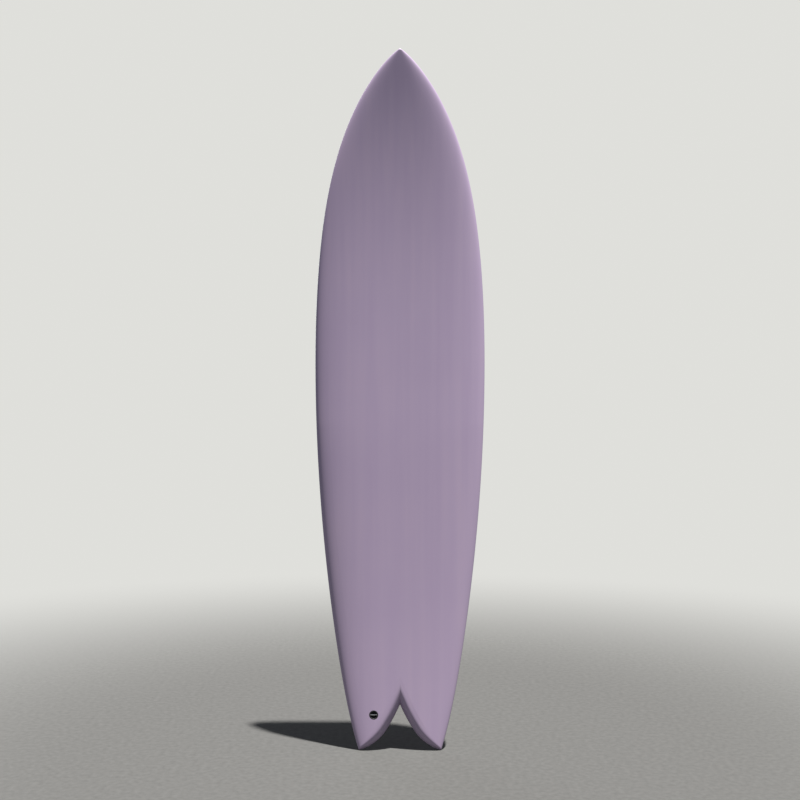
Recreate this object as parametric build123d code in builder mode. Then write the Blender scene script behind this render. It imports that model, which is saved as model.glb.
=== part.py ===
from build123d import *
import math
import os

# A swallow-tail surfboard standing on its two tail tips, with its deck facing -Y.
# +Z runs from the tail to the nose, +X is to the right seen from the deck side, and the
# bottom with its two keel fins faces +Y. The origin is on the floor, midway between the tips.

# ---- driving dimensions (mm) ----
LENGTH = 2134.0            # 7 ft 0 in, tail tips to nose
HALF_WIDTH = 261.5         # at the wide point
WIDE_POINT = 1190.0        # height of the wide point above the tips
THICKNESS = 70.0           # at the thickest point
THICK_POINT = 1150.0
NOSE_THICKNESS = 9.0
TIP_THICKNESS = 20.0
FLAT_POINT = 950.0         # where the bottom runs straight up
BOTTOM_MID_Y = 56.0        # the bottom at the flat point
NOSE_ROCKER = 118.0
TAIL_ROCKER = 46.0
NOSE_CUT = 2.0             # the loft ends in a tiny flat this far below the nose point

GLASS = 1.3                # laminate and its resin coats
PATCH = 1.0                # extra layers of cloth
STRINGER = 4.8
LAP = 42.0                 # how far the bottom laminate wraps onto the deck

NOTCH_APEX = 136.4         # height of the swallow tail's apex on the bottom side
NOTCH_HEADINGS = (23.5, 33.0, 100.0)   # the edge's slant from vertical: apex, joint, end
NOTCH_RADII = (535.0, 151.0)           # the edge's two tangent arcs
ROLL_WIDTH = 32.0          # the deck rolls over into the notch across this width
ROLL_DEPTH = 30.0
ROLL_TOP_Y = -9.5

CUP_X = -80.6
CUP_Z = 111.0
CUP_RADIUS = 14.0
CUP_STEP = 1.2             # the flange stands out from the cup's body by this
CUP_FLANGE = 3.0
CUP_DEPTH = 15.5
CUP_CAVITY_RADIUS = 10.5
CUP_CAVITY_DEPTH = 12.5
BAR_RADIUS = 2.1
BAR_BELOW_DECK = 4.6
BAR_ENGAGEMENT = 1.5       # how far each end is moulded into the cup's wall
BEDDING = 1.5              # resin round the cup and the fin boxes

FIN_BASE = 232.0
FIN_HEIGHT = 118.0
FIN_THICKNESS = 9.5
FIN_X = 122.0              # mid-base, from the stringer
FIN_Z = 262.0              # mid-base, above the tail tips
FIN_TOE = 1.5              # degrees, leading edges drawn in
FIN_CANT = 4.0             # degrees, tips leaning outboard
FIN_TIP_BACK = 45.0        # how far the tip lies ahead of the base's rear end
FIN_TRAILING_EDGE = 1.0    # thickness of the trailing edge
FIN_PATCH_WIDTH = 84.0
FIN_PATCH_LENGTH = 290.0
FIN_PATCH_CORNER = 30.0
FIN_GAP = 0.8              # between the fin's base and the bottom
HALO = 7.0                 # clear glass and resin rim round the plywood

BOX_LENGTH = 170.0
BOX_WIDTH = 26.0
BOX_DEPTH = 19.0
BOX_CORNER = 6.0
TAB_LENGTH = 34.0
TAB_THICKNESS = 6.4
TAB_DEPTH = 14.0
TAB_ROOT = 8.0             # how far the tabs run up into the plywood
TAB_SPACING = 92.0         # tab centre to tab centre
SLOT_CLEARANCE = 0.25
SLOT_DEPTH = 15.5
SCREW_RADIUS = 2.5         # M5 set screws, one beside each tab
SCREW_LENGTH = 5.6
SCREW_TILT = 20.0          # degrees, leaning its point against the tab
SCREW_POINT_DEPTH = 7.0
SCREW_GAP = 0.15           # between a screw's point and the tab
SCREW_SOCKET_RADIUS = 1.45 # across the socket's corners, halved
SCREW_SOCKET_DEPTH = 2.6


# Control points of one half of the section, rail to centre: a share of the half width, and a share
# of the height from the rail's widest line to the deck, or down to the bottom. The other half
# mirrors them, so each curve is one Bezier from rail to rail.
DECK_CONTROLS = ((1.0, 0.0), (1.0, 0.306), (1.013, 1.884), (-0.535, 0.639))
BOTTOM_CONTROLS = ((1.0, 0.0), (1.0, 0.654), (0.673, 1.686), (0.415, 0.685))


# ---- the board's lines ----
def half_width(z):
    """The outline: one power curve from the wide point to the nose, one to the tail."""
    if z > WIDE_POINT:
        s = min((z - WIDE_POINT) / (LENGTH - WIDE_POINT), 1.0)
        return HALF_WIDTH * (1 - 0.479 * s**2 - 0.521 * s**4.15) ** 0.828
    s = (WIDE_POINT - z) / WIDE_POINT
    return HALF_WIDTH * (1 - 0.471 * s**2 - 0.045 * s**11.9)


def bottom_y(z):
    """The bottom's centreline: straight at the flat point, lifting towards the deck at both ends."""
    if z > FLAT_POINT:
        return BOTTOM_MID_Y - NOSE_ROCKER * ((z - FLAT_POINT) / (LENGTH - FLAT_POINT)) ** 2.7
    return BOTTOM_MID_Y - TAIL_ROCKER * ((FLAT_POINT - z) / FLAT_POINT) ** 2.3


def thickness(z):
    """The thickness on the centreline, thinning to the nose and to the tail tips."""
    if z > THICK_POINT:
        s = min((z - THICK_POINT) / (LENGTH - THICK_POINT), 1.0)
        return NOSE_THICKNESS + (THICKNESS - NOSE_THICKNESS) * (1 - s**2) ** 0.9
    s = (THICK_POINT - z) / THICK_POINT
    return THICKNESS - (THICKNESS - TIP_THICKNESS) * s**2.2


def rail_share(z):
    """How far up from the bottom the rail's widest line lies, as a share of the thickness."""
    return 0.24 + 0.2 * min(max(z / 1000.0, 0.0), 1.0)


def section_controls(z, inset):
    """Control points of one cross-section: the deck from right to left, the bottom back again."""
    slope = (half_width(z + 0.5) - half_width(z - 0.5)) if z < LENGTH - 1 else -1.2
    w = half_width(z) - inset * math.hypot(1.0, slope)
    t = thickness(z) - 2 * inset
    rail_y = bottom_y(z) - inset - t * rail_share(z)
    to_deck = -t * (1 - rail_share(z))
    to_bottom = t * rail_share(z)
    over = [(w * x, rail_y + to_deck * y) for x, y in DECK_CONTROLS]
    under = [(-w * x, rail_y + to_bottom * y) for x, y in BOTTOM_CONTROLS]
    over += [(-x, y) for x, y in reversed(over)]
    under += [(-x, y) for x, y in reversed(under)]
    return over, under


STATIONS = (-3, 100, 230, 400, 600, 830, 1070, 1290, 1480, 1650, 1790, 1900, 1980, 2040, 2085, 2113)


def notch_path(offset, run_in, plane):
    """A lobe's edge, from run_in above the apex to past the tip, moved offset into the board."""
    start, joint, end = NOTCH_HEADINGS
    down, along = math.radians(start), math.radians(joint)
    apex = (-offset * math.cos(down), NOTCH_APEX + offset * math.sin(down))
    upper, lower = (radius - offset for radius in NOTCH_RADII)
    above = (apex[0] + run_in * math.sin(down), apex[1] + run_in * math.cos(down))
    bend = (
        apex[0] + upper * (math.cos(along) - math.cos(down)),
        apex[1] + upper * (math.sin(down) - math.sin(along)),
    )
    with BuildLine(plane) as path:
        Line(above, apex)
        JernArc(apex, (-math.sin(down), -math.cos(down)), upper, start - joint)
        JernArc(bend, (-math.sin(along), -math.cos(along)), lower, joint - end)
    return path.wire()


def notch_cutter(inset):
    """What the swallow tail takes away: a rolled profile carried along each lobe's edge."""
    path = notch_path(0.0, 110.0, Plane.XZ)
    slant = math.radians(NOTCH_HEADINGS[0])
    across = Plane(
        origin=path @ 0,
        x_dir=(math.cos(slant), 0, -math.sin(slant)),
        z_dir=(math.sin(slant), 0, math.cos(slant)),
    )
    reach = 130.0
    roll_centre = (-ROLL_WIDTH, ROLL_TOP_Y + ROLL_DEPTH)
    with BuildPart() as cutter:
        with BuildSketch(across):
            with BuildLine():
                roll = EllipticalCenterArc(
                    roll_centre, ROLL_WIDTH - inset, ROLL_DEPTH - inset, start_angle=270, arc_size=90
                )
                far_corners = ((-inset, reach), (reach, reach), (reach, -reach), (-ROLL_WIDTH, -reach))
                Polyline(roll @ 1, *far_corners, roll @ 0)
            make_face()
        sweep(path=path)
        split(bisect_by=Plane.YZ, keep=Keep.BOTTOM)
        mirror(about=Plane.YZ)
    return cutter.part


def board_solid(inset):
    """The whole board, shrunk by inset all round, with the swallow tail cut out."""
    nose = LENGTH - NOSE_CUT - 1.5 * inset
    stations = [z for z in STATIONS if z < nose - 4] + [nose]
    with BuildPart() as body:
        for z in stations:
            over, under = section_controls(z, inset)
            with BuildSketch(Plane.XY.offset(z)):
                with BuildLine():
                    Bezier(*over)
                    Bezier(*under)
                make_face()
        loft()
        add(notch_cutter(inset), mode=Mode.SUBTRACT)
    return body.part


os.makedirs("parts", exist_ok=True)
outer = board_solid(0.0)
inner = board_solid(GLASS)
under_patch = board_solid(GLASS + PATCH)


# ---- regions of the board, seen square to the deck ----
def tail_region(offset):
    """The swallow tail, moved offset into the board."""
    with BuildSketch() as region:
        with BuildLine():
            edge = notch_path(offset, 140.0, Plane.XY)
            add(edge.edges())
            top, low = edge @ 0, edge @ 1
            Polyline((low.X, low.Y), (low.X, -90), (90, -90), (90, top.Y), (top.X, top.Y))
        make_face()
        with Locations((-200, 100)):
            Rectangle(400, 400, mode=Mode.INTERSECT)
        mirror(about=Plane.YZ)
    return region.sketch


def inside_outline(margin, low, high):
    """The outline drawn in by margin between two heights, with a pointed upper end."""
    heights = [low + (high - low) * i / 9 for i in range(10)]
    right = [(half_width(z) - margin, z) for z in heights]
    left = [(-x, z) for x, z in reversed(right)]
    with BuildSketch() as region:
        with BuildLine():
            Spline(*right)
            Polyline(right[-1], (0, high + 0.7 * right[-1][0]), left[0])
            Spline(*left)
            Line(left[-1], right[0])
        make_face()
    return region.sketch


# The deck's side of the board: everything in front of its middle layer.
with BuildPart() as deck_side:
    levels = [i * LENGTH / 9 for i in range(10)]
    middle = [(bottom_y(z) - 0.6 * thickness(z), z) for z in levels]
    lowest, highest = (middle[0][0], -40.0), (middle[-1][0] - 15.0, LENGTH + 40.0)
    with BuildSketch(Plane.YZ):
        with BuildLine():
            Spline(lowest, *middle, highest)
            Polyline(highest, (-260, highest[1]), (-260, lowest[1]), lowest)
        make_face()
    extrude(amount=300, both=True)

# ---- leash plug: a black cup with a steel bar across it, bedded in resin in the left lobe ----
cup_face_y = bottom_y(CUP_Z) - 0.985 * thickness(CUP_Z)


def cup_cylinder(radius, depth, proud):
    """A cylinder along Y at the cup, from proud of the cup's face down to depth below it."""
    with BuildPart() as cylinder:
        with BuildSketch(Plane.XZ.offset(-cup_face_y - depth)):
            with Locations((CUP_X, CUP_Z)):
                Circle(radius)
        extrude(amount=depth + proud)
    return cylinder.part


with BuildPart() as leash_bar:
    with BuildSketch(Plane.YZ.offset(CUP_X)):
        with Locations((cup_face_y + BAR_BELOW_DECK, CUP_Z)):
            Circle(BAR_RADIUS)
    extrude(amount=CUP_CAVITY_RADIUS + BAR_ENGAGEMENT, both=True)
    chamfer(leash_bar.edges(), 0.3)

with BuildPart() as cup_cavity:
    add(cup_cylinder(CUP_CAVITY_RADIUS, CUP_CAVITY_DEPTH, 8.0))
    fillet(cup_cavity.edges().sort_by(Axis.Y)[-1], 5.0)

with BuildPart() as cup_blank:
    add(cup_cylinder(CUP_RADIUS, CUP_FLANGE, 8.0))
    add(cup_cylinder(CUP_RADIUS - CUP_STEP, CUP_DEPTH, 0.0))

with BuildPart() as leash_cup:
    add(cup_blank.part)
    add(outer, mode=Mode.INTERSECT)
    add(cup_cavity.part, mode=Mode.SUBTRACT)
    add(leash_bar.part, mode=Mode.SUBTRACT)

cup_pocket = cup_cylinder(CUP_RADIUS + BEDDING, CUP_DEPTH + BEDDING, 8.0)
with BuildPart() as leash_bedding:
    add(cup_pocket)
    add(inner, mode=Mode.INTERSECT)
    add(cup_blank.part, mode=Mode.SUBTRACT)

# ---- right fin box: a moulded block with two slots, bedded in resin ----
bottom_slope = (bottom_y(FIN_Z + 1) - bottom_y(FIN_Z - 1)) / 2
toe, cant, lean = (math.radians(a) for a in (FIN_TOE, FIN_CANT, SCREW_TILT))
along = Vector(-math.sin(toe), bottom_slope, math.cos(toe)).normalized()
square_out = Vector(0, 1, -bottom_slope).normalized()
outboard = square_out.cross(along)
up = (square_out * math.cos(cant) + outboard * math.sin(cant)).normalized()
fin_foot = Vector(FIN_X, bottom_y(FIN_Z), FIN_Z)
# x runs along the fin's base towards the nose, y outboard and z up the fin, out of the bottom.
base_plane = Plane(origin=fin_foot, x_dir=along, z_dir=up)
# The fin seen from its side: x along the base, y up the fin.
side_plane = Plane(origin=fin_foot, x_dir=along, z_dir=along.cross(up))
tab_places = (-TAB_SPACING / 2, TAB_SPACING / 2)
screw_axis = (up * math.cos(lean) + base_plane.y_dir * math.sin(lean)).normalized()


def sunk_block(length, width, depth, proud, corner):
    """A block with rounded corners, from depth below the bottom to proud of it."""
    with BuildPart() as block:
        with BuildSketch(base_plane.offset(-depth)):
            RectangleRounded(length, width, corner)
        extrude(amount=depth + proud)
    return block.part


def screw_cylinders(radius, start, length):
    """Cylinders on the set screws' leaning axes, measured from the screws' points."""
    off_centre = TAB_THICKNESS / 2 + SCREW_GAP + SCREW_RADIUS * math.cos(lean)
    with BuildPart() as cylinders:
        for place in tab_places:
            point = base_plane.from_local_coords(Vector(place, off_centre, -SCREW_POINT_DEPTH))
            with BuildSketch(Plane(origin=point + screw_axis * start, x_dir=along, z_dir=screw_axis)):
                Circle(radius)
            extrude(amount=length)
    return cylinders.part


def screw_sockets():
    """The hexagonal key sockets in the set screws' outer ends."""
    off_centre = TAB_THICKNESS / 2 + SCREW_GAP + SCREW_RADIUS * math.cos(lean)
    with BuildPart() as sockets:
        for place in tab_places:
            point = base_plane.from_local_coords(Vector(place, off_centre, -SCREW_POINT_DEPTH))
            top = point + screw_axis * SCREW_LENGTH
            with BuildSketch(Plane(origin=top, x_dir=along, z_dir=screw_axis)):
                RegularPolygon(SCREW_SOCKET_RADIUS, 6)
            extrude(amount=-SCREW_SOCKET_DEPTH)
    return sockets.part


def slot_blocks(length, width, depth, height):
    """One upright block at each tab's place."""
    with BuildPart() as blocks:
        for place in tab_places:
            with BuildSketch(base_plane.offset(-depth)):
                with Locations((place, 0)):
                    RectangleRounded(length, width, width / 2 - 0.05)
            extrude(amount=depth + height)
    return blocks.part


box_block = sunk_block(BOX_LENGTH, BOX_WIDTH, BOX_DEPTH, 8.0, BOX_CORNER)
with BuildPart() as boxes:
    add(box_block)
    mirror(about=Plane.YZ)

with BuildPart() as fin_box_right:
    add(box_block)
    add(outer, mode=Mode.INTERSECT)
    add(
        slot_blocks(TAB_LENGTH + 2 * SLOT_CLEARANCE, TAB_THICKNESS + 2 * SLOT_CLEARANCE, SLOT_DEPTH, 20.0),
        mode=Mode.SUBTRACT,
    )
    add(screw_cylinders(SCREW_RADIUS + 0.1, 0.0, 20.0), mode=Mode.SUBTRACT)

box_pocket = sunk_block(
    BOX_LENGTH + 2 * BEDDING, BOX_WIDTH + 2 * BEDDING, BOX_DEPTH + BEDDING, 8.0, BOX_CORNER + BEDDING
)
with BuildPart() as box_bedding_right:
    add(box_pocket)
    add(inner, mode=Mode.INTERSECT)
    add(box_block, mode=Mode.SUBTRACT)

with BuildPart() as box_bedding_left:
    mirror(box_pocket, about=Plane.YZ)
    add(inner, mode=Mode.INTERSECT)
    add(boxes.part, mode=Mode.SUBTRACT)

with BuildPart() as screws_right:
    add(screw_cylinders(SCREW_RADIUS, 0.0, SCREW_LENGTH))
    chamfer(screws_right.edges().filter_by(GeomType.CIRCLE), 0.35)
    add(screw_sockets(), mode=Mode.SUBTRACT)

with BuildPart() as fin_grub_screws:
    add(screws_right.part)
    mirror(about=Plane.YZ)


# ---- right fin: a foiled plywood keel with a clear rim, standing on two tabs ----
def fin_front(v):
    """The leading edge at a share v of the fin's height, measured from mid-base."""
    return FIN_TIP_BACK + (FIN_BASE - FIN_TIP_BACK) * (1 - v**1.3) ** 0.75 - FIN_BASE / 2


def fin_back(v):
    """The trailing edge: hollow in the middle and rounding forward at the tip."""
    return 13.0 * 4 * v * (1 - v) + (FIN_TIP_BACK - 5.0) * v**12 - FIN_BASE / 2


def fin_level(v):
    """The height above the bottom at a share v of the fin's height."""
    return FIN_GAP + v * (FIN_HEIGHT - FIN_GAP)


with BuildPart() as fin_foil:
    for v in (0.0, 0.18, 0.36, 0.53, 0.68, 0.80, 0.89, 0.955, 0.99):
        back, chord = fin_back(v), fin_front(v) - fin_back(v)
        swell = 0.8 * FIN_THICKNESS * (1 - 0.42 * v) * (1 - 0.35 * v**8)
        waist, lead, edge = back + 0.35 * chord, back + 1.196 * chord, FIN_TRAILING_EDGE / 2
        half = [(back, edge), (waist, swell), (lead, swell)]
        other_half = [(x, -y) for x, y in reversed(half)]
        with BuildSketch(base_plane.offset(fin_level(v))):
            with BuildLine():
                Bezier(*half, (lead, 0), *other_half)
                Line(other_half[-1], half[0])
            make_face()
    loft()

# The plywood's outline lies inside the fin's by the rim's width, and runs down past its foot.
with BuildPart() as core_zone:
    steps = [0.9 * i / 6 for i in range(7)]
    front_edge = [(fin_front(v) - 1.35 * HALO, fin_level(v)) for v in steps]
    back_edge = [(fin_back(v) + HALO, fin_level(v)) for v in steps]
    crown = ((front_edge[-1][0] + back_edge[-1][0]) / 2, FIN_HEIGHT - HALO)
    with BuildSketch(side_plane):
        with BuildLine():
            Spline(*front_edge, crown)
            Spline(crown, *reversed(back_edge))
            foot = -3 * HALO
            Polyline(back_edge[0], (back_edge[0][0], foot), (front_edge[0][0], foot), front_edge[0])
        make_face()
    extrude(amount=20, both=True)

with BuildPart() as fin_tabs_right:
    add(slot_blocks(TAB_LENGTH, TAB_THICKNESS, TAB_DEPTH, FIN_GAP + TAB_ROOT))
    add(sunk_block(FIN_BASE, TAB_THICKNESS - 0.2, 40.0, 40.0, 0.5), mode=Mode.INTERSECT)

with BuildPart() as fin_core_right:
    add(fin_foil.part)
    add(core_zone.part, mode=Mode.INTERSECT)
    add(fin_tabs_right.part, mode=Mode.SUBTRACT)

with BuildPart() as fin_halo_right:
    add(fin_foil.part)
    add(core_zone.part, mode=Mode.SUBTRACT)

# ---- laminates: the deck's, and the bottom's that wraps the rails and the tail's rolled edge ----
with BuildPart() as deck_zone:
    with BuildSketch(Plane.XZ):
        add(inside_outline(LAP, 30.0, LENGTH - 130.0))
        add(tail_region(ROLL_WIDTH + 5.0), mode=Mode.SUBTRACT)
    extrude(amount=300, both=True)
    add(deck_side.part, mode=Mode.INTERSECT)

with BuildPart() as deck_glass:
    add(outer)
    add(inner, mode=Mode.SUBTRACT)
    add(deck_zone.part, mode=Mode.INTERSECT)
    add(cup_blank.part, mode=Mode.SUBTRACT)

with BuildPart() as bottom_glass:
    add(outer)
    add(inner, mode=Mode.SUBTRACT)
    add(deck_zone.part, mode=Mode.SUBTRACT)
    add(boxes.part, mode=Mode.SUBTRACT)

# ---- extra cloth under the laminates: the deck's foot patch and one round each fin box ----
with BuildPart() as patch_layer:
    add(inner)
    add(under_patch, mode=Mode.SUBTRACT)

with BuildPart() as deck_patch:
    with BuildSketch(Plane.XZ):
        add(inside_outline(LAP + 25.0, 150.0, 1080.0))
        add(tail_region(ROLL_WIDTH + 20.0), mode=Mode.SUBTRACT)
    extrude(amount=300, both=True)
    add(deck_side.part, mode=Mode.INTERSECT)
    add(patch_layer.part, mode=Mode.INTERSECT)
    add(cup_pocket, mode=Mode.SUBTRACT)

with BuildPart() as fin_patch_right:
    with BuildSketch(Plane.XZ):
        with Locations((FIN_X, FIN_Z)):
            RectangleRounded(FIN_PATCH_WIDTH, FIN_PATCH_LENGTH, FIN_PATCH_CORNER)
    extrude(amount=300, both=True)
    add(deck_side.part, mode=Mode.SUBTRACT)
    add(patch_layer.part, mode=Mode.INTERSECT)
    add(box_pocket, mode=Mode.SUBTRACT)

with BuildPart() as pocket_left:
    mirror(box_pocket, about=Plane.YZ)

with BuildPart() as fin_patch_left:
    with BuildSketch(Plane.XZ):
        with Locations((-FIN_X, FIN_Z)):
            RectangleRounded(FIN_PATCH_WIDTH, FIN_PATCH_LENGTH, FIN_PATCH_CORNER)
    extrude(amount=300, both=True)
    add(deck_side.part, mode=Mode.SUBTRACT)
    add(patch_layer.part, mode=Mode.INTERSECT)
    add(pocket_left.part, mode=Mode.SUBTRACT)

# ---- the core: two foam halves with a wooden stringer glued between them ----
with BuildPart() as stringer:
    add(inner)
    with BuildSketch(Plane.XZ):
        with Locations((0, LENGTH / 2)):
            Rectangle(STRINGER, LENGTH + 100)
    extrude(amount=300, both=True, mode=Mode.INTERSECT)
    add(deck_patch.part, mode=Mode.SUBTRACT)

with BuildPart() as blank_right:
    add(inner)
    with BuildSketch(Plane.XZ):
        with Locations((STRINGER / 2 + HALF_WIDTH, LENGTH / 2)):
            Rectangle(2 * HALF_WIDTH, LENGTH + 100)
    extrude(amount=300, both=True, mode=Mode.INTERSECT)
    add(deck_patch.part, mode=Mode.SUBTRACT)
    add(fin_patch_right.part, mode=Mode.SUBTRACT)
    add(box_pocket, mode=Mode.SUBTRACT)

with BuildPart() as blank_left:
    add(inner)
    with BuildSketch(Plane.XZ):
        with Locations((-STRINGER / 2 - HALF_WIDTH, LENGTH / 2)):
            Rectangle(2 * HALF_WIDTH, LENGTH + 100)
    extrude(amount=300, both=True, mode=Mode.INTERSECT)
    add(deck_patch.part, mode=Mode.SUBTRACT)
    add(fin_patch_left.part, mode=Mode.SUBTRACT)
    add(pocket_left.part, mode=Mode.SUBTRACT)
    add(cup_pocket, mode=Mode.SUBTRACT)


# ---- the left fin and its box are the right side's, mirrored ----
def mirrored(piece):
    """The same piece on the other side of the stringer."""
    with BuildPart() as other:
        mirror(piece, about=Plane.YZ)
    return other


fin_box_left = mirrored(fin_box_right.part)
fin_core_left = mirrored(fin_core_right.part)
fin_halo_left = mirrored(fin_halo_right.part)
fin_tabs_left = mirrored(fin_tabs_right.part)

# ---- export, one file for each piece ----
pieces = {
    "blank_left": blank_left,
    "blank_right": blank_right,
    "stringer": stringer,
    "deck_glass": deck_glass,
    "bottom_glass": bottom_glass,
    "deck_patch": deck_patch,
    "fin_patch_left": fin_patch_left,
    "fin_patch_right": fin_patch_right,
    "leash_cup": leash_cup,
    "leash_bar": leash_bar,
    "leash_bedding": leash_bedding,
    "fin_box_left": fin_box_left,
    "fin_box_right": fin_box_right,
    "box_bedding_left": box_bedding_left,
    "box_bedding_right": box_bedding_right,
    "fin_grub_screws": fin_grub_screws,
    "fin_core_left": fin_core_left,
    "fin_core_right": fin_core_right,
    "fin_halo_left": fin_halo_left,
    "fin_halo_right": fin_halo_right,
    "fin_tabs_left": fin_tabs_left,
    "fin_tabs_right": fin_tabs_right,
}
for name, piece in pieces.items():
    piece.part.label = name
    export_step(piece.part, f"parts/{name}.step")

print("fin slide axis, right:", [round(c, 6) for c in up])
print("cup face y:", round(cup_face_y, 2), "fin foot:", [round(c, 2) for c in fin_foot])
print("board volume, litres:", round(outer.volume / 1e6, 2))
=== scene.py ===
import math

import bmesh
import bpy
import numpy as np
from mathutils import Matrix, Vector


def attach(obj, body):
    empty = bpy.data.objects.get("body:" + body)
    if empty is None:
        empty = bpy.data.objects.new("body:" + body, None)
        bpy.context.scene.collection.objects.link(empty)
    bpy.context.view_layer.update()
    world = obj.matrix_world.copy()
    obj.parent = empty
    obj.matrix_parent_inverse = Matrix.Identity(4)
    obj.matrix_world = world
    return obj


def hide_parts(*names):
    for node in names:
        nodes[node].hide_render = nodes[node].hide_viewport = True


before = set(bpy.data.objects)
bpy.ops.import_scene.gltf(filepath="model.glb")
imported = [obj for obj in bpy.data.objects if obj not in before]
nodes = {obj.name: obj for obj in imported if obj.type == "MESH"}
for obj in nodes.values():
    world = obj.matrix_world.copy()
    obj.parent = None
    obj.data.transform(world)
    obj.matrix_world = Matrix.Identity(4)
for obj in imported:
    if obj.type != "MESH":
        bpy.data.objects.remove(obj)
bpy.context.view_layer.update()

# ---- Camera, sky and lamps ----
# The view is square to the deck at mid-height. A sun nearly overhead, a little in front and to
# the right, grazes the deck, a pale sky fills the shadows, and a lamp behind lights the bottom.
camera_data = bpy.data.cameras.new("camera")
camera_data.lens = 50
camera = bpy.data.objects.new("camera", camera_data)
bpy.context.collection.objects.link(camera)
camera.location = (0, -3.411, 1.076)
camera.rotation_euler = (math.radians(90), 0, 0)
bpy.context.scene.camera = camera
bpy.context.scene.view_settings.view_transform = "Standard"


class Socket:
    """A node's output. Sums on it add Math nodes, and node() adds any other node to its tree."""

    def __init__(self, tree, out=None):
        self.tree, self.out = tree, out

    def node(self, kind, settings=None, inputs=None, output=0):
        """Adds a node: its settings first, a ramp's stops among them, then its sockets' values or links."""
        made = self.tree.nodes.new(kind)
        for name, value in (settings or {}).items():
            if name == "stops":
                for place, colour in value:
                    stop = made.color_ramp.elements.new(place)
                    stop.color = colour
                made.color_ramp.elements.remove(made.color_ramp.elements[0])
                made.color_ramp.elements.remove(made.color_ramp.elements[-1])
            else:
                setattr(made, name, value)
        for name, value in (inputs or {}).items():
            if isinstance(value, Socket):
                self.tree.links.new(value.out, made.inputs[name])
            else:
                made.inputs[name].default_value = value
        return Socket(self.tree, made.outputs[output] if made.outputs else None)

    def maths(self, operation, *values):
        """Adds a Math node that works on sockets or plain numbers."""
        return self.node("ShaderNodeMath", {"operation": operation}, dict(enumerate(values)))

    def __add__(self, other):
        return self.maths("ADD", self, other)

    def __sub__(self, other):
        return self.maths("SUBTRACT", self, other)

    def __rsub__(self, other):
        return self.maths("SUBTRACT", other, self)

    def __mul__(self, other):
        return self.maths("MULTIPLY", self, other)

    __radd__ = __add__
    __rmul__ = __mul__


world = bpy.data.worlds.new("sky")
bpy.context.scene.world = world
world.use_nodes = True
world.node_tree.nodes.clear()
sky = Socket(world.node_tree)
seen = sky.node("ShaderNodeLightPath", output="Is Camera Ray")
fill = sky.node("ShaderNodeBackground", None, {"Color": (0.80, 0.86, 1.0, 1), "Strength": 0.26})
backdrop = sky.node("ShaderNodeBackground", None, {"Color": (0.74, 0.74, 0.71, 1), "Strength": 1.0})
sky.node(
    "ShaderNodeOutputWorld",
    None,
    {"Surface": sky.node("ShaderNodeMixShader", None, {0: seen, 1: fill, 2: backdrop})},
)


def lamp(kind, name, place, energy, colour, **shape):
    """A lamp at a place, turned to shine on the board's middle."""
    data = bpy.data.lights.new(name, kind)
    data.energy, data.color = energy, colour
    for key, value in shape.items():
        setattr(data, key, value)
    made = bpy.data.objects.new(name, data)
    bpy.context.collection.objects.link(made)
    made.location = place
    away = Vector(place) - Vector((0, 0, 1.0))
    made.rotation_euler = away.to_track_quat("Z", "Y").to_euler()


lamp("SUN", "sun", (0.62, -0.64, 4.8), 13.4, (1.0, 0.975, 0.94), angle=0.03)
lamp("AREA", "behind", (-1.5, 3.4, 2.6), 75, (0.93, 0.96, 1.0), size=2.6)

# ---- Floor ----
# A plain grey studio floor that the tail tips stand on. It fades out to the sky's pale colour.
floor_data = bpy.data.meshes.new("floor")
floor_reach = 9.0
floor_corners = [(x * floor_reach, y * floor_reach, 0) for x, y in ((-1, -1), (1, -1), (1, 1), (-1, 1))]
floor_data.from_pydata(floor_corners, [], [(0, 1, 2, 3)])
floor = bpy.data.objects.new("floor", floor_data)
bpy.context.collection.objects.link(floor)
floor_finish = bpy.data.materials.new("pale_floor")
floor_finish.use_nodes = True
floor_finish.node_tree.nodes.clear()
ground = Socket(floor_finish.node_tree)
place = ground.node("ShaderNodeTexCoord", output="Object")
grit = ground.node("ShaderNodeTexNoise", None, {"Vector": place, "Scale": 60.0, "Detail": 6.0})
tone = ground.node(
    "ShaderNodeMix",
    {"data_type": "RGBA"},
    {0: grit, 6: (0.055, 0.055, 0.054, 1), 7: (0.085, 0.085, 0.083, 1)},
    output=2,
)
concrete = ground.node("ShaderNodeBsdfDiffuse", None, {"Color": tone})
distance = ground.node("ShaderNodeVectorMath", {"operation": "LENGTH"}, {0: place}, output="Value")
faded = ground.node(
    "ShaderNodeMapRange", {"interpolation_type": "SMOOTHSTEP"}, {0: distance, 1: 0.9, 2: 3.6}
)
clear = ground.node("ShaderNodeBsdfTransparent")
ground.node(
    "ShaderNodeOutputMaterial",
    None,
    {"Surface": ground.node("ShaderNodeMixShader", None, {0: faded, 1: concrete, 2: clear})},
)
floor_data.materials.append(floor_finish)

# ---- Board skin: the deck laminate and the bottom laminate ----
# Cloth and pigmented polyester resin over the foam, sanded to a satin finish. The bottom
# laminate wraps the rails and the tail's rolled edge; the deck laminate lies inside its edge.
MM = 0.001
LENGTH, HALF_WIDTH, WIDE_POINT = 2134.0, 261.5, 1190.0
THICKNESS, THICK_POINT, NOSE_THICKNESS, TIP_THICKNESS = 70.0, 1150.0, 9.0, 20.0
FLAT_POINT, BOTTOM_MID_Y, NOSE_ROCKER, TAIL_ROCKER = 950.0, 56.0, 118.0, 46.0
NOTCH_APEX, NOTCH_RADII = 136.4, (535.0, 151.0)
SLANT, BEND = np.radians(23.5), np.radians(33.0)
ROLL_WIDTH, ROLL_DEPTH, ROLL_TOP_Y = 32.0, 30.0, -8.85
LAP, ROLL_LAP, SKIN = 42.0, 37.0, 1.15
NOSE_ROUNDING = 6.0


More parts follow.
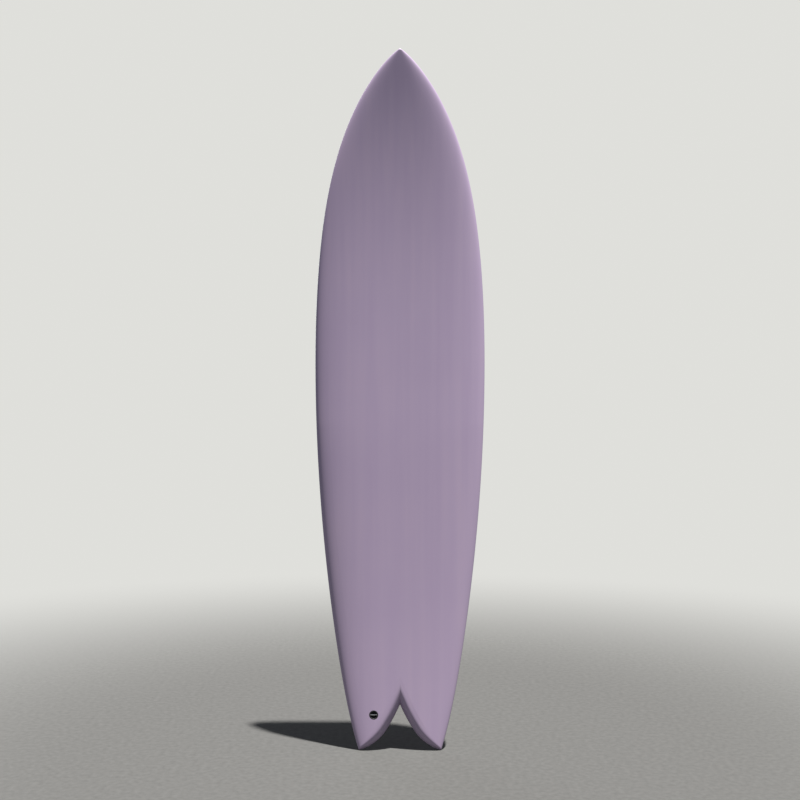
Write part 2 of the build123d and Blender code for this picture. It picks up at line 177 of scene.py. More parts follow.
def half_width(z):
    """The outline: a power curve from the wide point to the nose, another to the tail."""
    s = np.clip((z - WIDE_POINT) / (LENGTH - WIDE_POINT), 0, 1)
    nose = np.maximum(1 - 0.479 * s**2 - 0.521 * s**4.15, 0) ** 0.828
    s = np.clip((WIDE_POINT - z) / WIDE_POINT, 0, 2)
    return HALF_WIDTH * np.where(z > WIDE_POINT, nose, 1 - 0.471 * s**2 - 0.045 * s**11.9)


def bottom_line(z):
    """The bottom's centreline in y: straight at the flat point, curving forward at both ends."""
    nose = NOSE_ROCKER * np.clip((z - FLAT_POINT) / (LENGTH - FLAT_POINT), 0, 1) ** 2.7
    tail = TAIL_ROCKER * np.clip((FLAT_POINT - z) / FLAT_POINT, 0, 2) ** 2.3
    return BOTTOM_MID_Y - nose - tail


def thickness(z):
    """Centreline thickness: a power curve to each end, rounded off in the nose's last millimetres."""
    s = np.clip((z - THICK_POINT) / (LENGTH - THICK_POINT), 0, 1)
    nose = NOSE_THICKNESS + (THICKNESS - NOSE_THICKNESS) * (1 - s**2) ** 0.9
    s = np.clip((THICK_POINT - z) / THICK_POINT, 0, 2)
    past = np.clip(z - LENGTH + NOSE_ROUNDING, 0, NOSE_ROUNDING) / NOSE_ROUNDING
    rounded = np.sqrt(np.clip(1 - past**2, 0.02, 1))
    return np.where(z > THICK_POINT, nose, THICKNESS - (THICKNESS - TIP_THICKNESS) * s**2.2) * rounded


def rail_share(z):
    """How far up from the bottom the rails' widest line lies, as a share of the thickness."""
    return 0.24 + 0.2 * np.clip(z / 1000.0, 0, 1)


def rail_line(z):
    """The rails' widest line in y."""
    nose_lift = (thickness(z) - thickness(np.minimum(z, LENGTH - NOSE_ROUNDING))) * 0.5
    return bottom_line(z) + nose_lift - thickness(z) * rail_share(z)


def deck_height(x, z):
    """y of the crowned deck: from the rail line up a superellipse to the centreline."""
    u = np.clip(np.abs(x) / np.maximum(half_width(z), 1e-6), 0, 1)
    return rail_line(z) - thickness(z) * (1 - rail_share(z)) * (1 - u**3.2) ** (1 / 2.2)


def bottom_height(x, z):
    """y of the bottom: from the rail line down a squarer superellipse to the centreline."""
    u = np.clip(np.abs(x) / np.maximum(half_width(z), 1e-6), 0, 1)
    return rail_line(z) + thickness(z) * rail_share(z) * (1 - u**5) ** (1 / 1.8)


def edge_centres():
    """The centres of the two tangent arcs that make the right lobe's edge in the swallow tail."""
    apex = np.array([0.0, NOTCH_APEX])
    first = apex + NOTCH_RADII[0] * np.array([math.cos(SLANT), math.sin(SLANT)])
    joint = first - NOTCH_RADII[0] * np.array([math.cos(BEND), math.sin(BEND)])
    return first, joint + NOTCH_RADII[1] * np.array([math.cos(BEND), math.sin(BEND)])


def edge_distance(x, z):
    """Distance into the board from the lobe's edge: from its arcs, or the line above its apex."""
    first, second = edge_centres()
    heading_1 = np.arctan2(first[1] - z, first[0] - x)
    heading_2 = np.arctan2(second[1] - z, second[0] - x)
    line = x * math.cos(SLANT) + (z - NOTCH_APEX) * math.sin(SLANT)
    upper = np.where(heading_1 > SLANT, NOTCH_RADII[0] - np.hypot(x - first[0], z - first[1]), line)
    return np.where(heading_2 > BEND, NOTCH_RADII[1] - np.hypot(x - second[0], z - second[1]), upper)


def rolled_deck(x, z):
    """The deck, rolled over into the swallow tail along a quarter ellipse, with a soft join."""
    d = edge_distance(np.abs(x), z)
    ellipse = ROLL_DEPTH * (1 - np.sqrt(1 - np.clip(1 - d / ROLL_WIDTH, 0, 1) ** 2))
    # Past its width the roll rises off the deck, so that the deck takes over there.
    rise_rate = 0.03
    roll = ROLL_TOP_Y + ellipse - rise_rate * np.maximum(d - ROLL_WIDTH, 0) ** 2
    deck = deck_height(x, z)
    soft = 2.0
    share = np.clip(0.5 + 0.5 * (deck - roll) / soft, 0, 1)
    return roll + (deck - roll) * share + soft * share * (1 - share)


def lobe_edge(count):
    """The lobe's sharp lower edge from apex to tip, where the roll meets the bottom."""
    first, second = edge_centres()
    past_tip = np.radians(88)
    headings = np.linspace(SLANT, past_tip, 4000)
    centre = np.where(headings[:, None] < BEND, first, second)
    radius = np.where(headings < BEND, *NOTCH_RADII)
    inward = np.stack([np.cos(headings), np.sin(headings)], 1)
    points = centre - radius[:, None] * inward
    # How far the edge is set in depends on the bottom's height there, so it is worked out four times.
    for _ in range(4):
        fall = (bottom_height(points[:, 0], points[:, 1]) - ROLL_TOP_Y) / ROLL_DEPTH
        set_in = ROLL_WIDTH * (1 - np.sqrt(1 - (1 - np.clip(fall, 0, 1)) ** 2))
        points = centre - (radius - set_in)[:, None] * inward
    inside = points[:, 0] < half_width(points[:, 1])
    points = points[: int(np.argmin(inside))]
    run = np.concatenate([[0], np.cumsum(np.hypot(*np.diff(points, axis=0).T))])
    wanted = run[-1] * np.linspace(0, 1, count)
    return np.stack([np.interp(wanted, run, points[:, 0]), np.interp(wanted, run, points[:, 1])], 1)


def board_rows():
    """Inner and outer ends of each crosswise row: level rows, then rows that fan round each lobe."""
    swing, level_rows, straight_rows, edge_rows = 330.0, 231, 50, 91
    level = LENGTH - (LENGTH - swing) * np.linspace(0, 1, level_rows) ** 1.5
    inner = np.stack([np.zeros_like(level), level], 1)
    outer = np.stack([half_width(level), level], 1)
    edge = lobe_edge(edge_rows)
    straight = np.linspace(swing, NOTCH_APEX, straight_rows + 2)[1:-1]
    inner_tail = np.concatenate([np.stack([np.zeros_like(straight), straight], 1), edge])
    steps = np.hypot(*np.diff(np.concatenate([inner[-1:], inner_tail]), axis=0).T)
    share = np.cumsum(steps) / steps.sum()
    heights = swing + (edge[-1, 1] - swing) * share
    outer_tail = np.stack([half_width(heights), heights], 1)
    outer_tail[-1] = edge[-1]
    return np.concatenate([inner, inner_tail]), np.concatenate([outer, outer_tail])


def grid_faces(rows, columns, flip):
    """Quads of a grid of rows by columns vertices."""
    i = np.arange(rows * columns).reshape(rows, columns)
    quads = np.stack([i[:-1, :-1], i[:-1, 1:], i[1:, 1:], i[1:, :-1]], -1).reshape(-1, 4)
    return quads[:, ::-1] if flip else quads


def grid_mesh(name, grids, weld=1e-6):
    """One mesh from several (points, flip) grids, with touching vertices joined."""
    vertices, faces, start = [], [], 0
    for points, flip in grids:
        vertices.append(points.reshape(-1, 3) * MM)
        faces.append(grid_faces(*points.shape[:2], flip) + start)
        start += points.shape[0] * points.shape[1]
    data = bpy.data.meshes.new(name)
    data.from_pydata(np.concatenate(vertices), [], np.concatenate(faces))
    work = bmesh.new()
    work.from_mesh(data)
    bmesh.ops.remove_doubles(work, verts=work.verts, dist=weld)
    work.to_mesh(data)
    work.free()
    data.shade_smooth()
    piece = bpy.data.objects.new(name, data)
    bpy.context.collection.objects.link(piece)
    return piece


def take_shown_mesh(piece):
    """Keeps what a piece's modifiers show as its mesh, with its rims crisp."""
    shown = piece.evaluated_get(bpy.context.evaluated_depsgraph_get())
    solid = bpy.data.meshes.new_from_object(shown)
    piece.modifiers.clear()
    piece.data = solid
    solid.set_sharp_from_angle(angle=math.radians(38))


def thickened(piece, depth):
    """Gives an open skin its wall, inwards."""
    wall = piece.modifiers.new("wall", "SOLIDIFY")
    wall.thickness, wall.offset = depth * MM, -1
    take_shown_mesh(piece)


# Where each row's edge lap ends and its rail lap begins, as shares of the row.
inner, outer = board_rows()
across = np.linspace(0, 1, 241)
probe = inner[:, None] + (outer - inner)[:, None] * across[None, :, None]
deep_enough = edge_distance(probe[..., 0], probe[..., 1]) >= ROLL_LAP
row_length = np.hypot(*(outer - inner).T)
lap_out = 1 - np.minimum(LAP / np.maximum(row_length, 1e-3), 0.45)
lap_in = np.where(deep_enough.any(1), across[np.argmax(deep_enough, 1)], 1.0)
lap_in = np.minimum(lap_in, lap_out)


def columns_between(start, end, spacing):
    """Plan positions on each row between two shares of it."""
    share = start[:, None] + (end - start)[:, None] * spacing[None, :]
    return inner[:, None] + (outer - inner)[:, None] * share[..., None]


def on_deck(plan):
    """Deck points above plan positions; the row's inner end in the tail lies on the bottom."""
    y = rolled_deck(plan[..., 0], plan[..., 1])
    return np.stack([plan[..., 0], y, plan[..., 1]], -1)


def both_sides(points, flip):
    """A grid and its mirror image on the other side of the stringer."""
    return [(points, flip), (points * [-1, 1, 1], not flip)]


# Columns crowd towards the tail's edge and the rails, where the surface bends most.
to_edge = np.linspace(0, 1, 15) ** 1.7
to_rail = 1 - np.linspace(1, 0, 15) ** 2
zero, one = np.zeros(len(inner)), np.ones(len(inner))
centre_band = on_deck(columns_between(lap_in, lap_out, np.linspace(0, 1, 37)))
rolled_band = on_deck(columns_between(zero, lap_in, to_edge))
rail_band = on_deck(columns_between(lap_out, one, to_rail))
plan = columns_between(zero, one, 0.5 - 0.5 * np.cos(np.pi * np.linspace(0, 1, 33)))
under = np.stack([plan[..., 0], bottom_height(plan[..., 0], plan[..., 1]), plan[..., 1]], -1)
# Deck and bottom share their vertices along the tail's edge and the rails, and end at the tail tip.
in_tail = inner[:, 1] <= NOTCH_APEX
rolled_band[in_tail, 0] = under[in_tail, 0]
rail_band[:, -1, 1] = under[:, -1, 1]
rolled_band[-1] = centre_band[-1] = rail_band[-1] = under[-1] = under[-1, -1]

deck_skin = grid_mesh("deck_skin", both_sides(centre_band, True))
bottom_skin = grid_mesh(
    "bottom_skin", both_sides(rolled_band, True) + both_sides(rail_band, True) + both_sides(under, False)
)


def cut_prism(piece, ring, direction):
    """Cuts a straight-sided pocket out of a piece: the ring of points swept along a direction."""
    count = len(ring)
    points = np.concatenate([ring, ring + direction]) * MM
    i = np.arange(count)
    j = (i + 1) % count
    sides = np.stack([i, j, j + count, i + count], 1)
    data = bpy.data.meshes.new("cutter")
    caps = [list(range(count))[::-1], list(range(count, 2 * count))]
    data.from_pydata(points, [], sides.tolist() + caps)
    work = bmesh.new()
    work.from_mesh(data)
    bmesh.ops.recalc_face_normals(work, faces=work.faces)
    work.to_mesh(data)
    work.free()
    cutter = bpy.data.objects.new("cutter", data)
    bpy.context.collection.objects.link(cutter)
    cut = piece.modifiers.new("cut", "BOOLEAN")
    cut.operation, cut.solver, cut.object = "DIFFERENCE", "EXACT", cutter
    take_shown_mesh(piece)
    bpy.data.objects.remove(cutter)


def belongs(piece, finish, body, node):
    """Gives a finished piece its material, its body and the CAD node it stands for."""
    piece.data.materials.clear()
    piece.data.materials.append(finish)
    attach(piece, body)
    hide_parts(node)


CUP_X, CUP_Z, CUP_RADIUS, CUP_FACE = -80.6, 111.0, 14.0, -8.122
CLEARANCE, CUP_CUT_START, CUP_CUT_LENGTH, BOX_CUT_START, BOX_CUT_LENGTH = 0.03, -30.0, 36.0, 15, 40
turn = np.linspace(0, 2 * np.pi, 97)[:-1]
cut_radius = CUP_RADIUS + CLEARANCE
in_front = np.full(len(turn), CUP_CUT_START)
cup_ring = np.stack([CUP_X + cut_radius * np.cos(turn), in_front, CUP_Z + cut_radius * np.sin(turn)], 1)
# The fin's own axes on the right: along its base to the nose, up out of the bottom, and outboard.
FIN_X, FIN_Z, TOE = 122.0, 262.0, math.radians(1.5)
FOOT = np.array([FIN_X, float(bottom_line(np.array(FIN_Z))), FIN_Z])
UP = np.array([0.069733, 0.995034, -0.071023])
slope = float(bottom_line(np.array(FIN_Z + 1)) - bottom_line(np.array(FIN_Z - 1))) / 2
ALONG = np.array([-math.sin(TOE), slope, math.cos(TOE)])
ALONG /= np.linalg.norm(ALONG)
OUTBOARD = np.cross(UP, ALONG)
# The fin box's mouth, 170 mm by 26 mm with 6 mm corners.
corner = np.stack([np.cos(turn), np.sin(turn)], 1) * (6 + CLEARANCE)
corner += np.sign(corner.round(6) + 1e-7) * [79.0, 7.0]
box_ring = FOOT + corner[:, :1] * ALONG + corner[:, 1:] * OUTBOARD - BOX_CUT_START * UP


def new_finish(name, **constants):
    """A material with one Principled shader, whose even values are set on its own sockets."""
    made = bpy.data.materials.new(name)
    made.use_nodes = True
    shader = made.node_tree.nodes["Principled BSDF"]
    for key, value in constants.items():
        shader.inputs[key.replace("_", " ")].default_value = value
    return made, Socket(made.node_tree), shader


def feed(shader, name, socket):
    """Links a socket to one of the shader's inputs."""
    socket.tree.links.new(socket.out, shader.inputs[name])


def emboss(shader, height, strength, depth):
    """Raises a fine pattern on the surface, with its depth in metres."""
    sizes = {"Strength": strength, "Distance": depth, "Height": height}
    feed(shader, "Normal", height.node("ShaderNodeBump", None, sizes))


pigment, mix, shader = new_finish("lilac_pigment", Specular_IOR_Level=0.45, IOR=1.5)
place = mix.node("ShaderNodeTexCoord", output="Object")
cloud = mix.node("ShaderNodeTexNoise", None, {"Vector": place, "Scale": 3.2, "Detail": 3.0})
drawn = mix.node("ShaderNodeMapping", None, {"Vector": place, "Scale": (46.0, 46.0, 1.1)})
streak = mix.node("ShaderNodeTexNoise", None, {"Vector": drawn, "Scale": 1.0, "Detail": 4.0})
dust = mix.node("ShaderNodeTexNoise", None, {"Vector": place, "Scale": 900.0, "Detail": 2.0})
shade = cloud * 0.5 + streak * 0.5
lilacs = {
    "stops": [
        (0.30, (0.345, 0.272, 0.395, 1)),
        (0.50, (0.362, 0.288, 0.408, 1)),
        (0.72, (0.385, 0.304, 0.418, 1)),
    ]
}
feed(shader, "Base Color", mix.node("ShaderNodeValToRGB", lilacs, {"Fac": shade}))
feed(shader, "Roughness", 0.36 + streak * 0.10 + dust * 0.06)
scuffs = mix.node("ShaderNodeMapping", None, {"Vector": place, "Scale": (700.0, 700.0, 60.0)})
sanding = mix.node("ShaderNodeTexNoise", None, {"Vector": scuffs, "Scale": 1.0, "Detail": 3.0})
emboss(shader, sanding + dust * 0.4, 0.10, 0.00004)
thickened(deck_skin, SKIN)
thickened(bottom_skin, SKIN)
cut_prism(deck_skin, cup_ring, np.array([0, CUP_CUT_LENGTH, 0]))
box_cut = UP * BOX_CUT_LENGTH
cut_prism(bottom_skin, box_ring, box_cut)
cut_prism(bottom_skin, box_ring * [-1, 1, 1], box_cut * [-1, 1, 1])
belongs(deck_skin, pigment, "board", "deck_glass")
belongs(bottom_skin, pigment, "board", "bottom_glass")

# ---- Leash cup ----
# A moulded black plastic cup bedded in the left lobe, its lip sanded flush with the deck.
# Each point of its half section is a radius and a depth below the lip: body, flange, lip, floor.
FLANGE_DEPTH, LIP_PROUD = 3.0, 0.05
body = [(0, 15.5), (12.2, 15.5), (12.65, 15.3), (12.8, 14.9), (12.8, 3.1), (12.95, 3.0)]
flange = [(13.9, 3.0), (14.0, 2.9), (14.0, 0.35), (13.9, 0.1), (13.65, 0.0)]
lip = [(11.1, 0.0), (10.75, 0.1), (10.55, 0.35), (10.5, 0.7), (10.5, 7.5)]
bend = np.linspace(0.13, math.pi / 2, 13)
floor_curve = [(5.5 + 5 * math.cos(a), 7.5 + 5 * math.sin(a)) for a in bend]
outline = np.array(body + flange + lip + floor_curve + [(0, 12.5)])
run = np.concatenate([[0], np.cumsum(np.hypot(*np.diff(outline, axis=0).T))])
fine = np.unique(np.concatenate([run, np.arange(0, run[-1], 0.4)]))
radius, depth = np.interp(fine, run, outline[:, 0]), np.interp(fine, run, outline[:, 1])
full_turn = np.linspace(0, 2 * np.pi, 145)
cup_points = np.stack(
    [
        CUP_X + radius[:, None] * np.cos(full_turn),
        np.zeros((len(fine), len(full_turn))),
        CUP_Z + radius[:, None] * np.sin(full_turn),
    ],
    -1,
)
top = deck_height(cup_points[..., 0], cup_points[..., 2]) - LIP_PROUD
near_top = np.clip(1 - depth[:, None] / FLANGE_DEPTH, 0, 1)
cup_points[..., 1] = CUP_FACE + depth[:, None] + (top - CUP_FACE) * near_top
leash_cup = grid_mesh("leash_cup_body", [(cup_points, True)])
leash_cup.data.set_sharp_from_angle(angle=math.radians(50))
black, mix, shader = new_finish("black_moulding", Specular_IOR_Level=0.5)
place = mix.node("ShaderNodeTexCoord", output="Object")
grain = mix.node("ShaderNodeTexNoise", None, {"Vector": place, "Scale": 2600.0, "Detail": 3.0})
dusty = mix.node("ShaderNodeTexNoise", None, {"Vector": place, "Scale": 160.0, "Detail": 4.0})
blacks = {"stops": [(0.35, (0.007, 0.007, 0.008, 1)), (0.75, (0.020, 0.019, 0.021, 1))]}
feed(shader, "Base Color", mix.node("ShaderNodeValToRGB", blacks, {"Fac": dusty}))
feed(shader, "Roughness", 0.34 + dusty * 0.22)
emboss(shader, grain, 0.25, 0.00006)
belongs(leash_cup, black, "board", "leash_cup")

# ---- Leash bar ----
# A stainless cross bar with fine turned lines, 4.2 mm thick. Its ends are moulded into the cup's
# wall, and its axis lies 4.6 mm below the cup's face.
BAR_DEPTH = 4.6
bar_outline = np.array([(0, -12), (1.8, -12), (2.1, -11.7), (2.1, 11.7), (1.8, 12), (0, 12)])
bar_run = np.concatenate([[0], np.cumsum(np.hypot(*np.diff(bar_outline, axis=0).T))])
fine = np.unique(np.concatenate([bar_run, np.arange(0, bar_run[-1], 0.5)]))
radius, reach_x = (np.interp(fine, bar_run, bar_outline[:, k])[:, None] for k in (0, 1))
bar_points = np.stack(
    [
        CUP_X + reach_x + 0 * full_turn,
        CUP_FACE + BAR_DEPTH + radius * np.cos(full_turn),
        CUP_Z + radius * np.sin(full_turn),
    ],
    -1,
)
leash_bar = grid_mesh("leash_bar_rod", [(bar_points, True)])
leash_bar.data.set_sharp_from_angle(angle=math.radians(40))
steel, mix, shader = new_finish("polished_steel", Metallic=1.0)
place = mix.node("ShaderNodeTexCoord", output="Object")
lines = mix.node("ShaderNodeMapping", None, {"Vector": place, "Scale": (4200.0, 300.0, 300.0)})
turned = mix.node("ShaderNodeTexNoise", None, {"Vector": lines, "Scale": 1.0, "Detail": 3.0})
steels = {"stops": [(0.3, (0.62, 0.62, 0.62, 1)), (0.7, (0.80, 0.79, 0.77, 1))]}
feed(shader, "Base Color", mix.node("ShaderNodeValToRGB", steels, {"Fac": turned}))
feed(shader, "Roughness", 0.28 + turned * 0.16)
emboss(shader, turned, 0.15, 0.00002)
belongs(leash_bar, steel, "board", "leash_bar")

# ---- Keel fins: plywood cores and their glassed rims ----
# Each fin is a raked keel with a foiled section. Its plywood core shows its plies as contour
# lines under clear resin, and a rim of resin and glass rope runs round its free edges.
FIN_BASE, FIN_HEIGHT, FIN_THICKNESS, TIP_BACK, FIN_GAP, HALO = 232.0, 118.0, 9.5, 45.0, 0.8, 7.0


def fin_front(v):
    """The leading edge along the base axis, at a share v of the height: a raked power curve."""
    return TIP_BACK + (FIN_BASE - TIP_BACK) * np.maximum(1 - v**1.3, 0) ** 0.75 - FIN_BASE / 2


def fin_back(v):
    """The trailing edge: a parabola's hollow, rounding forward at the tip by a high power."""
    return 52 * v * (1 - v) + (TIP_BACK - 5) * v**12 - FIN_BASE / 2


def half_foil(x, h):
    """Half the foil's thickness at a place on its side: a degree-six Bezier section, interpolated."""
    v = np.clip((h - FIN_GAP) / (FIN_HEIGHT - FIN_GAP), 0, 1)
    t = np.linspace(0, 0.5, 400)[:, None]
    choose = np.array([1, 6, 15, 20, 15, 6, 1])
    k = np.arange(7)
    weight = choose * t**k * (1 - t) ** (6 - k)
    along_chord = weight @ np.array([0, 0.35, 1.196, 1.196, 1.196, 0.35, 0])
    edge_part = weight @ np.array([1, 0, 0, 0, 0, 0, -1])
    swell_part = weight @ np.array([0, 1, 1, 0, -1, -1, 0])
    chord = np.maximum(fin_front(v) - fin_back(v), 1e-6)
    at = np.clip((x - fin_back(v)) / chord, 0, 1)
    swell = 0.8 * FIN_THICKNESS * (1 - 0.42 * v) * (1 - 0.35 * v**8)
    return 0.5 * np.interp(at, along_chord, edge_part) + swell * np.interp(at, along_chord, swell_part)


def core_edges(share):
    """Height and the two edges of the plywood at a share of its height, closed by a flat ellipse."""
    crown, top = FIN_HEIGHT - HALO, FIN_GAP + 0.9 * (FIN_HEIGHT - FIN_GAP)
    h = FIN_GAP + share * (crown - FIN_GAP)
    v = np.minimum((h - FIN_GAP) / (FIN_HEIGHT - FIN_GAP), 0.9)
    back, front = fin_back(v) + HALO, fin_front(v) - 1.35 * HALO
    closing = np.sqrt(np.clip(1 - (np.maximum(h - top, 0) / (crown - top)) ** 2, 0, 1))
    centre = (back + front) / 2
    return h, centre + (back - centre) * closing, centre + (front - centre) * closing


def foiled_plate(name, plan, side):
    """A closed plate from a grid of places on the fin's side: both faces and the rims between."""
    x, h = plan[..., 0], plan[..., 1]
    half = half_foil(x, h)[..., None]
    middle = FOOT + x[..., None] * ALONG + h[..., None] * UP
    mirrored = np.array([side, 1, 1])
    outer_face, inner_face = (middle + half * OUTBOARD) * mirrored, (middle - half * OUTBOARD) * mirrored
    flip = side < 0
    rims = []
    for cut, turned in ((np.s_[0], True), (np.s_[-1], False), (np.s_[:, 0], False), (np.s_[:, -1], True)):
        rims.append((np.stack([outer_face[cut], inner_face[cut]]), turned != flip))
    plate = grid_mesh(name, [(outer_face, flip), (inner_face, not flip)] + rims)
    work = bmesh.new()
    work.from_mesh(plate.data)
    bmesh.ops.dissolve_degenerate(work, dist=1e-7, edges=work.edges)
    bmesh.ops.recalc_face_normals(work, faces=work.faces)
    work.to_mesh(plate.data)
    work.free()
    place = np.zeros(len(plate.data.vertices) * 3)
    plate.data.vertices.foreach_get("co", place)
    local = place.reshape(-1, 3) / MM * mirrored - FOOT
    spots = np.stack([local @ ALONG, local @ UP, local @ OUTBOARD], 1) * MM
    spots = spots.astype(np.float32)
    plate.data.attributes.new("fin_place", "FLOAT_VECTOR", "POINT").data.foreach_set("vector", spots.ravel())
    plate.data.set_sharp_from_angle(angle=math.radians(40))
    return plate


share = np.concatenate([np.linspace(0, 0.955, 66), 1 - 0.045 * np.linspace(1, 0, 17)[1:] ** 2])
h, back, front = core_edges(share)
across_core = np.linspace(0, 1, 61)
core_plan = np.stack(
    [back[:, None] + (front - back)[:, None] * across_core, h[:, None] + 0 * across_core], -1
)
rise = np.linspace(0, 1, 81)
up_h, up_back, up_front = core_edges(rise)
v = 1 - (1 - rise) ** 1.6
height = FIN_GAP + v * (FIN_HEIGHT - FIN_GAP)
inner_line = np.concatenate([np.stack([up_back, up_h], 1), np.stack([up_front, up_h], 1)[::-1]])
outer_line = np.concatenate([np.stack([fin_back(v), height], 1), np.stack([fin_front(v), height], 1)[::-1]])
out_share = 1 - np.linspace(1, 0, 15) ** 1.7
halo_plan = inner_line[:, None] + (outer_line - inner_line)[:, None] * out_share[None, :, None]

plywood, mix, shader = new_finish("glassed_plywood", Coat_Weight=0.6, Coat_Roughness=0.12)
spot = mix.node("ShaderNodeAttribute", {"attribute_name": "fin_place"}, output="Vector")
ply_depth = mix.node("ShaderNodeSeparateXYZ", None, {0: spot}, output="Z")
warp = mix.node("ShaderNodeTexNoise", None, {"Vector": spot, "Scale": 30.0, "Detail": 2.0})
layer = mix.maths("ABSOLUTE", ply_depth) * 720.0 + warp * 0.35
turn_ply = mix.maths("FRACT", layer)
crosswise = mix.maths("GREATER_THAN", turn_ply, 0.5)
glue = mix.maths("LESS_THAN", mix.maths("ABSOLUTE", mix.maths("FRACT", layer * 2.0) - 0.5), 0.07)
lengthwise = mix.node("ShaderNodeMapping", None, {"Vector": spot, "Scale": (26.0, 900.0, 900.0)})
upright = mix.node("ShaderNodeMapping", None, {"Vector": spot, "Scale": (900.0, 26.0, 900.0)})
fibres = mix.node(
    "ShaderNodeMix",
    {"data_type": "FLOAT"},
    {
        0: crosswise,
        2: mix.node("ShaderNodeTexNoise", None, {"Vector": lengthwise, "Scale": 1.0, "Detail": 5.0}),
        3: mix.node("ShaderNodeTexNoise", None, {"Vector": upright, "Scale": 1.0, "Detail": 5.0}),
    },
)
woods = {
    "stops": [
        (0.15, (0.205, 0.092, 0.036, 1)),
        (0.45, (0.360, 0.188, 0.078, 1)),
        (0.70, (0.470, 0.275, 0.125, 1)),
        (1.00, (0.560, 0.360, 0.180, 1)),
    ]
}
wood = mix.node("ShaderNodeValToRGB", woods, {"Fac": fibres * 0.75 + crosswise * 0.18})
glued = {0: glue, 6: wood, 7: (0.10, 0.045, 0.020, 1)}
feed(shader, "Base Color", mix.node("ShaderNodeMix", {"data_type": "RGBA"}, glued, output=2))
feed(shader, "Roughness", 0.30 + fibres * 0.20)
emboss(shader, fibres, 0.12, 0.00008)

rim, mix, shader = new_finish("resin_rim", Coat_Weight=0.5, Coat_Roughness=0.10)
spot = mix.node("ShaderNodeAttribute", {"attribute_name": "fin_place"}, output="Vector")
strands = mix.node("ShaderNodeMapping", None, {"Vector": spot, "Scale": (500.0, 260.0, 500.0)})
rope = mix.node("ShaderNodeTexNoise", None, {"Vector": strands, "Scale": 1.0, "Detail": 5.0})
haze = mix.node("ShaderNodeTexNoise", None, {"Vector": spot, "Scale": 45.0, "Detail": 3.0})
resins = {
    "stops": [
        (0.30, (0.40, 0.33, 0.22, 1)),
        (0.55, (0.53, 0.46, 0.33, 1)),
        (0.80, (0.64, 0.59, 0.47, 1)),
    ]
}
feed(shader, "Base Color", mix.node("ShaderNodeValToRGB", resins, {"Fac": rope * 0.6 + haze * 0.4}))
feed(shader, "Roughness", 0.20 + haze * 0.16)
emboss(shader, rope, 0.10, 0.00008)
for hand, side in (("left", -1), ("right", 1)):
    core = foiled_plate(f"{hand}_keel_plywood", core_plan, side)
    belongs(core, plywood, f"{hand}_fin", f"fin_core_{hand}")
    halo = foiled_plate(f"{hand}_keel_rim", halo_plan, side)
    belongs(halo, rim, f"{hand}_fin", f"fin_halo_{hand}")


def keep_cad(names, finish):
    """Puts a finish on CAD nodes that stay as they are."""
    for name in names:
        nodes[name].data.materials.clear()
        nodes[name].data.materials.append(finish)


# ---- Fin boxes and tabs, kept from the CAD ----
# Glass-filled nylon boxes, bedded flush with the bottom, and the fins' composite tabs.
moulded, mix, shader = new_finish("glass_filled_nylon", Specular_IOR_Level=0.45)
place = mix.node("ShaderNodeTexCoord", output="Object")
fleck = mix.node("ShaderNodeTexNoise", None, {"Vector": place, "Scale": 1400.0, "Detail": 4.0})
flow = mix.node("ShaderNodeTexNoise", None, {"Vector": place, "Scale": 60.0, "Detail": 3.0})
whites = {
    "stops": [
        (0.30, (0.50, 0.50, 0.49, 1)),
        (0.60, (0.60, 0.60, 0.585, 1)),
        (0.85, (0.66, 0.66, 0.64, 1)),
    ]
}
feed(shader, "Base Color", mix.node("ShaderNodeValToRGB", whites, {"Fac": fleck * 0.5 + flow * 0.5}))
feed(shader, "Roughness", 0.42 + fleck * 0.18)
emboss(shader, fleck, 0.2, 0.00005)
keep_cad(("fin_box_left", "fin_box_right"), moulded)

tab_finish, mix, shader = new_finish("tab_laminate", Specular_IOR_Level=0.5)
place = mix.node("ShaderNodeTexCoord", output="Object")
layers = mix.node("ShaderNodeMapping", None, {"Vector": place, "Scale": (2400.0, 90.0, 90.0)})
sheets = mix.node("ShaderNodeTexNoise", None, {"Vector": layers, "Scale": 1.0, "Detail": 3.0})
greens = {"stops": [(0.35, (0.36, 0.38, 0.26, 1)), (0.70, (0.50, 0.51, 0.38, 1))]}
feed(shader, "Base Color", mix.node("ShaderNodeValToRGB", greens, {"Fac": sheets}))
feed(shader, "Roughness", 0.38 + sheets * 0.20)
emboss(shader, sheets, 0.15, 0.00005)
keep_cad(("fin_tabs_left", "fin_tabs_right"), tab_finish)

# ---- Set screws, kept from the CAD ----
# Stainless grub screws with hexagonal sockets, which stop just short of the tabs.
screw_finish, mix, shader = new_finish("screw_steel", Metallic=1.0)
place = mix.node("ShaderNodeTexCoord", output="Object")
pits = mix.node("ShaderNodeTexNoise", None, {"Vector": place, "Scale": 1800.0, "Detail": 4.0})
greys = {"stops": [(0.3, (0.45, 0.45, 0.45, 1)), (0.7, (0.62, 0.61, 0.60, 1))]}
feed(shader, "Base Color", mix.node("ShaderNodeValToRGB", greys, {"Fac": pits}))
feed(shader, "Roughness", 0.24 + pits * 0.22)
emboss(shader, pits, 0.15, 0.00003)
keep_cad(("fin_grub_screws",), screw_finish)

# ---- The board's inside, kept from the CAD ----
# Foam halves glued to a wooden stringer, and cloth patches and bedding resin under the laminates.
foam, mix, shader = new_finish("blank_foam", Specular_IOR_Level=0.2)
place = mix.node("ShaderNodeTexCoord", output="Object")
cells = mix.node("ShaderNodeTexVoronoi", None, {"Vector": place, "Scale": 1500.0})
age = mix.node("ShaderNodeTexNoise", None, {"Vector": place, "Scale": 9.0, "Detail": 4.0})
creams = {"stops": [(0.3, (0.74, 0.72, 0.62, 1)), (0.7, (0.82, 0.81, 0.73, 1))]}
feed(shader, "Base Color", mix.node("ShaderNodeValToRGB", creams, {"Fac": age}))
feed(shader, "Roughness", 0.80 + age * 0.15)
emboss(shader, cells, 0.5, 0.0002)
keep_cad(("blank_left", "blank_right"), foam)

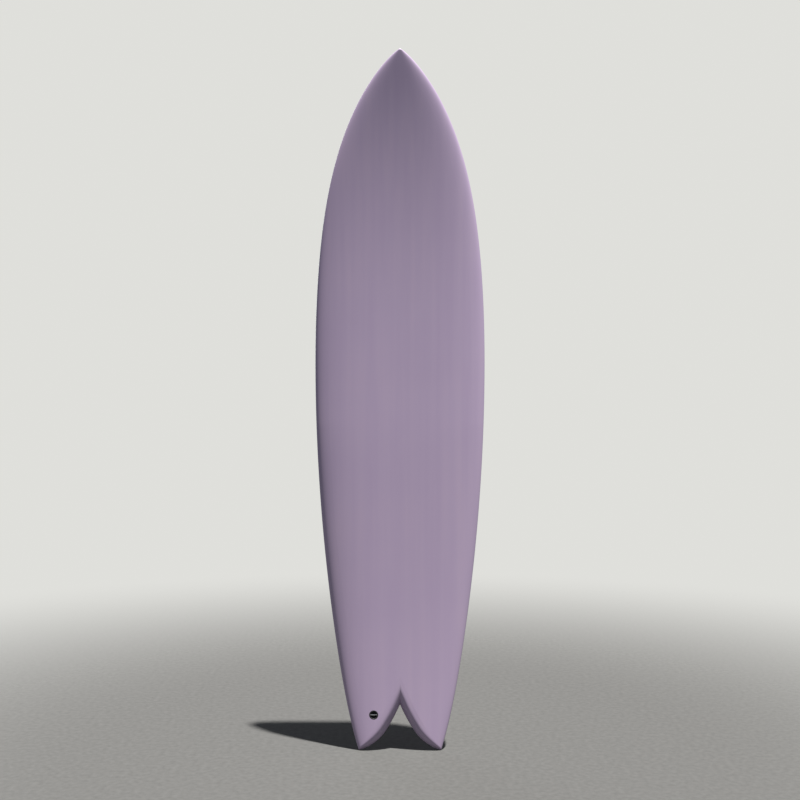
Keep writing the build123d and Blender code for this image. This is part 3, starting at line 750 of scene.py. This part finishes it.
basswood, mix, shader = new_finish("stringer_wood", Specular_IOR_Level=0.35)
place = mix.node("ShaderNodeTexCoord", output="Object")
length_grain = mix.node("ShaderNodeMapping", None, {"Vector": place, "Scale": (500.0, 320.0, 6.0)})
grain = mix.node("ShaderNodeTexNoise", None, {"Vector": length_grain, "Scale": 1.0, "Detail": 6.0})
pales = {
    "stops": [
        (0.30, (0.42, 0.29, 0.16, 1)),
        (0.55, (0.56, 0.42, 0.25, 1)),
        (0.80, (0.65, 0.52, 0.34, 1)),
    ]
}
feed(shader, "Base Color", mix.node("ShaderNodeValToRGB", pales, {"Fac": grain}))
feed(shader, "Roughness", 0.55 + grain * 0.2)
emboss(shader, grain, 0.2, 0.0001)
keep_cad(("stringer",), basswood)

cloth, mix, shader = new_finish("wetted_cloth", Specular_IOR_Level=0.5)
place = mix.node("ShaderNodeTexCoord", output="Object")
yarn_x = mix.maths("SINE", mix.node("ShaderNodeSeparateXYZ", None, {0: place}, output="X") * 4200.0)
yarn_z = mix.maths("SINE", mix.node("ShaderNodeSeparateXYZ", None, {0: place}, output="Z") * 4200.0)
weave = yarn_x * yarn_z * 0.5 + 0.5
haze = mix.node("ShaderNodeTexNoise", None, {"Vector": place, "Scale": 20.0, "Detail": 3.0})
wet_lilacs = {"stops": [(0.3, (0.40, 0.33, 0.44, 1)), (0.7, (0.50, 0.43, 0.54, 1))]}
feed(shader, "Base Color", mix.node("ShaderNodeValToRGB", wet_lilacs, {"Fac": weave * 0.4 + haze * 0.6}))
feed(shader, "Roughness", 0.30 + weave * 0.15)
emboss(shader, weave, 0.3, 0.0001)
keep_cad(("deck_patch", "fin_patch_left", "fin_patch_right"), cloth)

bedding, mix, shader = new_finish("bedding_resin", Specular_IOR_Level=0.5)
place = mix.node("ShaderNodeTexCoord", output="Object")
haze = mix.node("ShaderNodeTexNoise", None, {"Vector": place, "Scale": 120.0, "Detail": 4.0})
ambers = {"stops": [(0.3, (0.46, 0.39, 0.42, 1)), (0.7, (0.58, 0.51, 0.52, 1))]}
feed(shader, "Base Color", mix.node("ShaderNodeValToRGB", ambers, {"Fac": haze}))
feed(shader, "Roughness", 0.18 + haze * 0.15)
emboss(shader, haze, 0.1, 0.0001)
keep_cad(("leash_bedding", "box_bedding_left", "box_bedding_right"), bedding)
